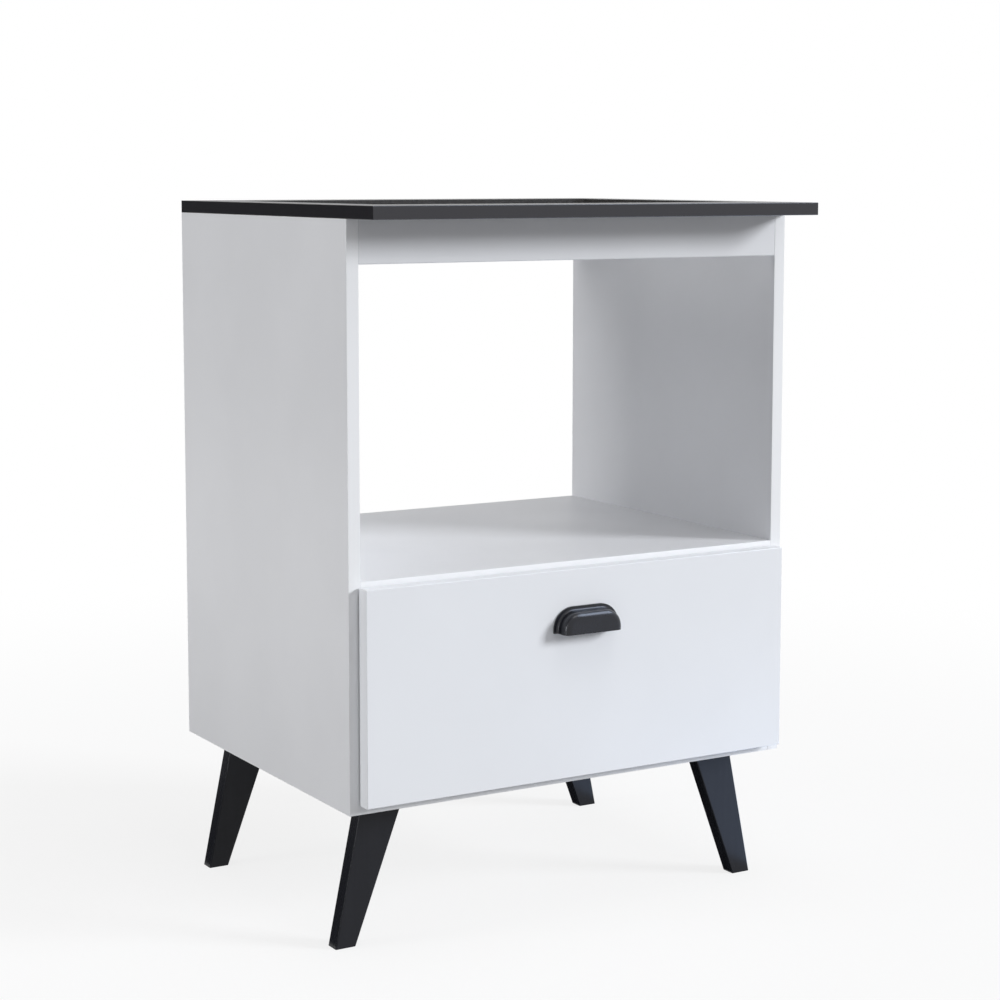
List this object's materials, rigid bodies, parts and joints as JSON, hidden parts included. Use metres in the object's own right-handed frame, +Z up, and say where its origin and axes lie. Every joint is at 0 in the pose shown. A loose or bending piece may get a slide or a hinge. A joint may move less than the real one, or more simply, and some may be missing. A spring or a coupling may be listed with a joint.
{
  "type": "oven base cabinet",
  "caption": "White free-standing base cabinet on splayed black legs, with a dark worktop cut out for a hob, an open oven niche and a deep drawer with a cup handle.",
  "frame": {"origin": "on the floor, under the middle of the worktop's outline", "axes": "+X to the right seen from the front, +Y to the back, +Z up"},
  "size_m": [0.6, 0.52, 0.852],
  "materials": {
    "white_melamine": "smooth white melamine on laminated board, satin",
    "white_hardboard": "thin hardboard, white face",
    "worktop_laminate": "dark grey laminate on board, satin",
    "black_lacquer": "black painted wood, satin",
    "handle_black": "moulded black plastic, satin to gloss",
    "white_steel": "white epoxy coated sheet steel",
    "nylon": "moulded nylon",
    "zinc_plate": "zinc plated",
    "beech": "raw beech",
    "clear_rubber": "soft clear pad"
  },
  "bodies": {
    "cabinet": {"left_side": "white_melamine", "right_side": "white_melamine", "bottom_panel": "white_melamine", "oven_shelf": "white_melamine", "front_rail": "white_melamine", "rear_rail": "white_melamine", "lower_back_panel": "white_hardboard", "worktop": "worktop_laminate", "leg_front_left": "black_lacquer", "leg_front_right": "black_lacquer", "leg_rear_left": "black_lacquer", "leg_rear_right": "black_lacquer", "leg_screws": "zinc_plate", "carcass_cams": "zinc_plate", "carcass_cam_bolts": "zinc_plate", "carcass_dowels": "beech", "worktop_screws": "zinc_plate", "runner_screws": "zinc_plate", "runner_channel_left": "white_steel", "runner_channel_right": "white_steel", "front_roller_rivets": "zinc_plate"},
    "drawer": {"drawer_front": "white_melamine", "drawer_side_left": "white_melamine", "drawer_side_right": "white_melamine", "drawer_back": "white_melamine", "drawer_bottom": "white_hardboard", "drawer_bumpers": "clear_rubber", "drawer_cams": "zinc_plate", "drawer_cam_bolts": "zinc_plate", "drawer_dowels": "beech", "drawer_back_screws": "zinc_plate", "drawer_bottom_screws": "zinc_plate", "runner_profile_left": "white_steel", "runner_profile_right": "white_steel", "drawer_profile_screws": "zinc_plate", "rear_roller_rivets": "zinc_plate", "handle": "handle_black", "handle_screws": "zinc_plate"},
    "front_roller_left": {"front_roller_left": "nylon"},
    "front_roller_right": {"front_roller_right": "nylon"},
    "rear_roller_left": {"rear_roller_left": "nylon"},
    "rear_roller_right": {"rear_roller_right": "nylon"}
  },
  "joints": [
    {"name": "drawer_slide", "type": "slide", "parent": "cabinet", "child": "drawer", "axis": [0, -1, 0], "range_m": [0, 0.3]},
    {"name": "front_roller_left_spin", "type": "hinge", "parent": "cabinet", "child": "front_roller_left", "pos_m": [-0.2786, -0.182, 0.2164], "axis": [1, 0, 0], "continuous": true},
    {"name": "front_roller_right_spin", "type": "hinge", "parent": "cabinet", "child": "front_roller_right", "pos_m": [0.2786, -0.182, 0.2164], "axis": [1, 0, 0], "continuous": true},
    {"name": "rear_roller_left_spin", "type": "hinge", "parent": "drawer", "child": "rear_roller_left", "pos_m": [-0.2786, 0.189, 0.2171], "axis": [1, 0, 0], "continuous": true},
    {"name": "rear_roller_right_spin", "type": "hinge", "parent": "drawer", "child": "rear_roller_right", "pos_m": [0.2786, 0.189, 0.2171], "axis": [1, 0, 0], "continuous": true}
  ],
  "couplings": [
    {"joint": "front_roller_left_spin", "follows": "drawer_slide", "rad_per_m": 100},
    {"joint": "front_roller_right_spin", "follows": "drawer_slide", "rad_per_m": 100},
    {"joint": "rear_roller_left_spin", "follows": "drawer_slide", "rad_per_m": 90.909},
    {"joint": "rear_roller_right_spin", "follows": "drawer_slide", "rad_per_m": 90.909}
  ]
}
